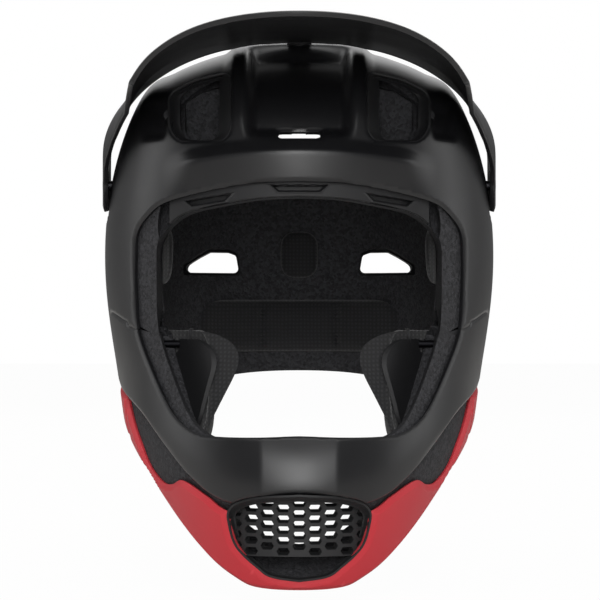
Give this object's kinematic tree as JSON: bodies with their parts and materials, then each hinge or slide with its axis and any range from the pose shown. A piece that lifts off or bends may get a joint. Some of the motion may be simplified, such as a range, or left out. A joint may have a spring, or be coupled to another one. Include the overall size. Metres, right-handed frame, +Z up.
{
  "type": "downhill bike full face helmet",
  "caption": "Full face helmet with an open chin bar, an adjustable peak, foam liner, pads and a ring-fastened strap.",
  "frame": {"origin": "centre of the head cavity, level with the eyes", "axes": "+Z up through the crown, -Y the way the face looks, +X to the wearer's left"},
  "size_m": [0.2398, 0.3432, 0.3349],
  "materials": {
    "black_shell": "satin black",
    "red_shell": "satin red",
    "foam": "dark beaded foam",
    "black_plastic": "matt",
    "screw_metal": "black anodised",
    "bush_metal": "turned",
    "pad_fabric": "knitted",
    "webbing": "woven",
    "ring_steel": "brushed"
  },
  "bodies": {
    "helmet": {"brow_pad": "pad_fabric", "brow_trim": "black_plastic", "cheek_pad_left": "pad_fabric", "cheek_pad_right": "pad_fabric", "cheek_plate_left": "black_plastic", "cheek_plate_right": "black_plastic", "chin_bar": "black_shell", "chin_grille": "black_plastic", "chin_liner": "foam", "crown_liner": "foam", "crown_pad": "pad_fabric", "crown_shell": "black_shell", "lower_shell": "red_shell", "mouth_bezel": "black_plastic", "nape_pad": "pad_fabric", "rear_pad": "pad_fabric", "rear_vent_sleeves": "black_plastic", "strap_long": "webbing", "strap_rivets": "ring_steel", "strap_short": "webbing", "temple_pad_left": "pad_fabric", "temple_pad_right": "pad_fabric", "vent_bezel_left": "black_plastic", "vent_bezel_right": "black_plastic", "visor_bushes": "bush_metal"},
    "visor": {"visor": "black_shell"},
    "side_screw_left": {"visor_screw_left": "screw_metal"},
    "side_screw_right": {"visor_screw_right": "screw_metal"},
    "middle_screw": {"visor_screw_middle": "screw_metal"},
    "upper_ring": {"ring_upper": "ring_steel"},
    "lower_ring": {"ring_lower": "ring_steel"}
  },
  "joints": [
    {"name": "visor_tilt", "type": "hinge", "parent": "helmet", "child": "visor", "pos_m": [0, -0.015, 0.07], "axis": [-1, 0, 0], "range_deg": [-6, 14]},
    {"name": "side_screw_left_turn", "type": "hinge", "parent": "helmet", "child": "side_screw_left", "pos_m": [0, -0.015, 0.07], "axis": [1, 0, 0], "continuous": true},
    {"name": "side_screw_right_turn", "type": "hinge", "parent": "helmet", "child": "side_screw_right", "pos_m": [0, -0.015, 0.07], "axis": [-1, 0, 0], "continuous": true},
    {"name": "middle_screw_turn", "type": "hinge", "parent": "helmet", "child": "middle_screw", "pos_m": [0, -0.015, 0.07], "axis": [0, -0.1736, 0.9848], "continuous": true},
    {"name": "ring_upper_swing", "type": "hinge", "parent": "helmet", "child": "upper_ring", "pos_m": [-0.03743, -0.072, -0.09637], "axis": [0, 1, 0], "range_deg": [-30, 0]},
    {"name": "ring_lower_swing", "type": "hinge", "parent": "helmet", "child": "lower_ring", "pos_m": [-0.03857, -0.072, -0.10063], "axis": [0, 1, 0], "range_deg": [0, 12]}
  ]
}
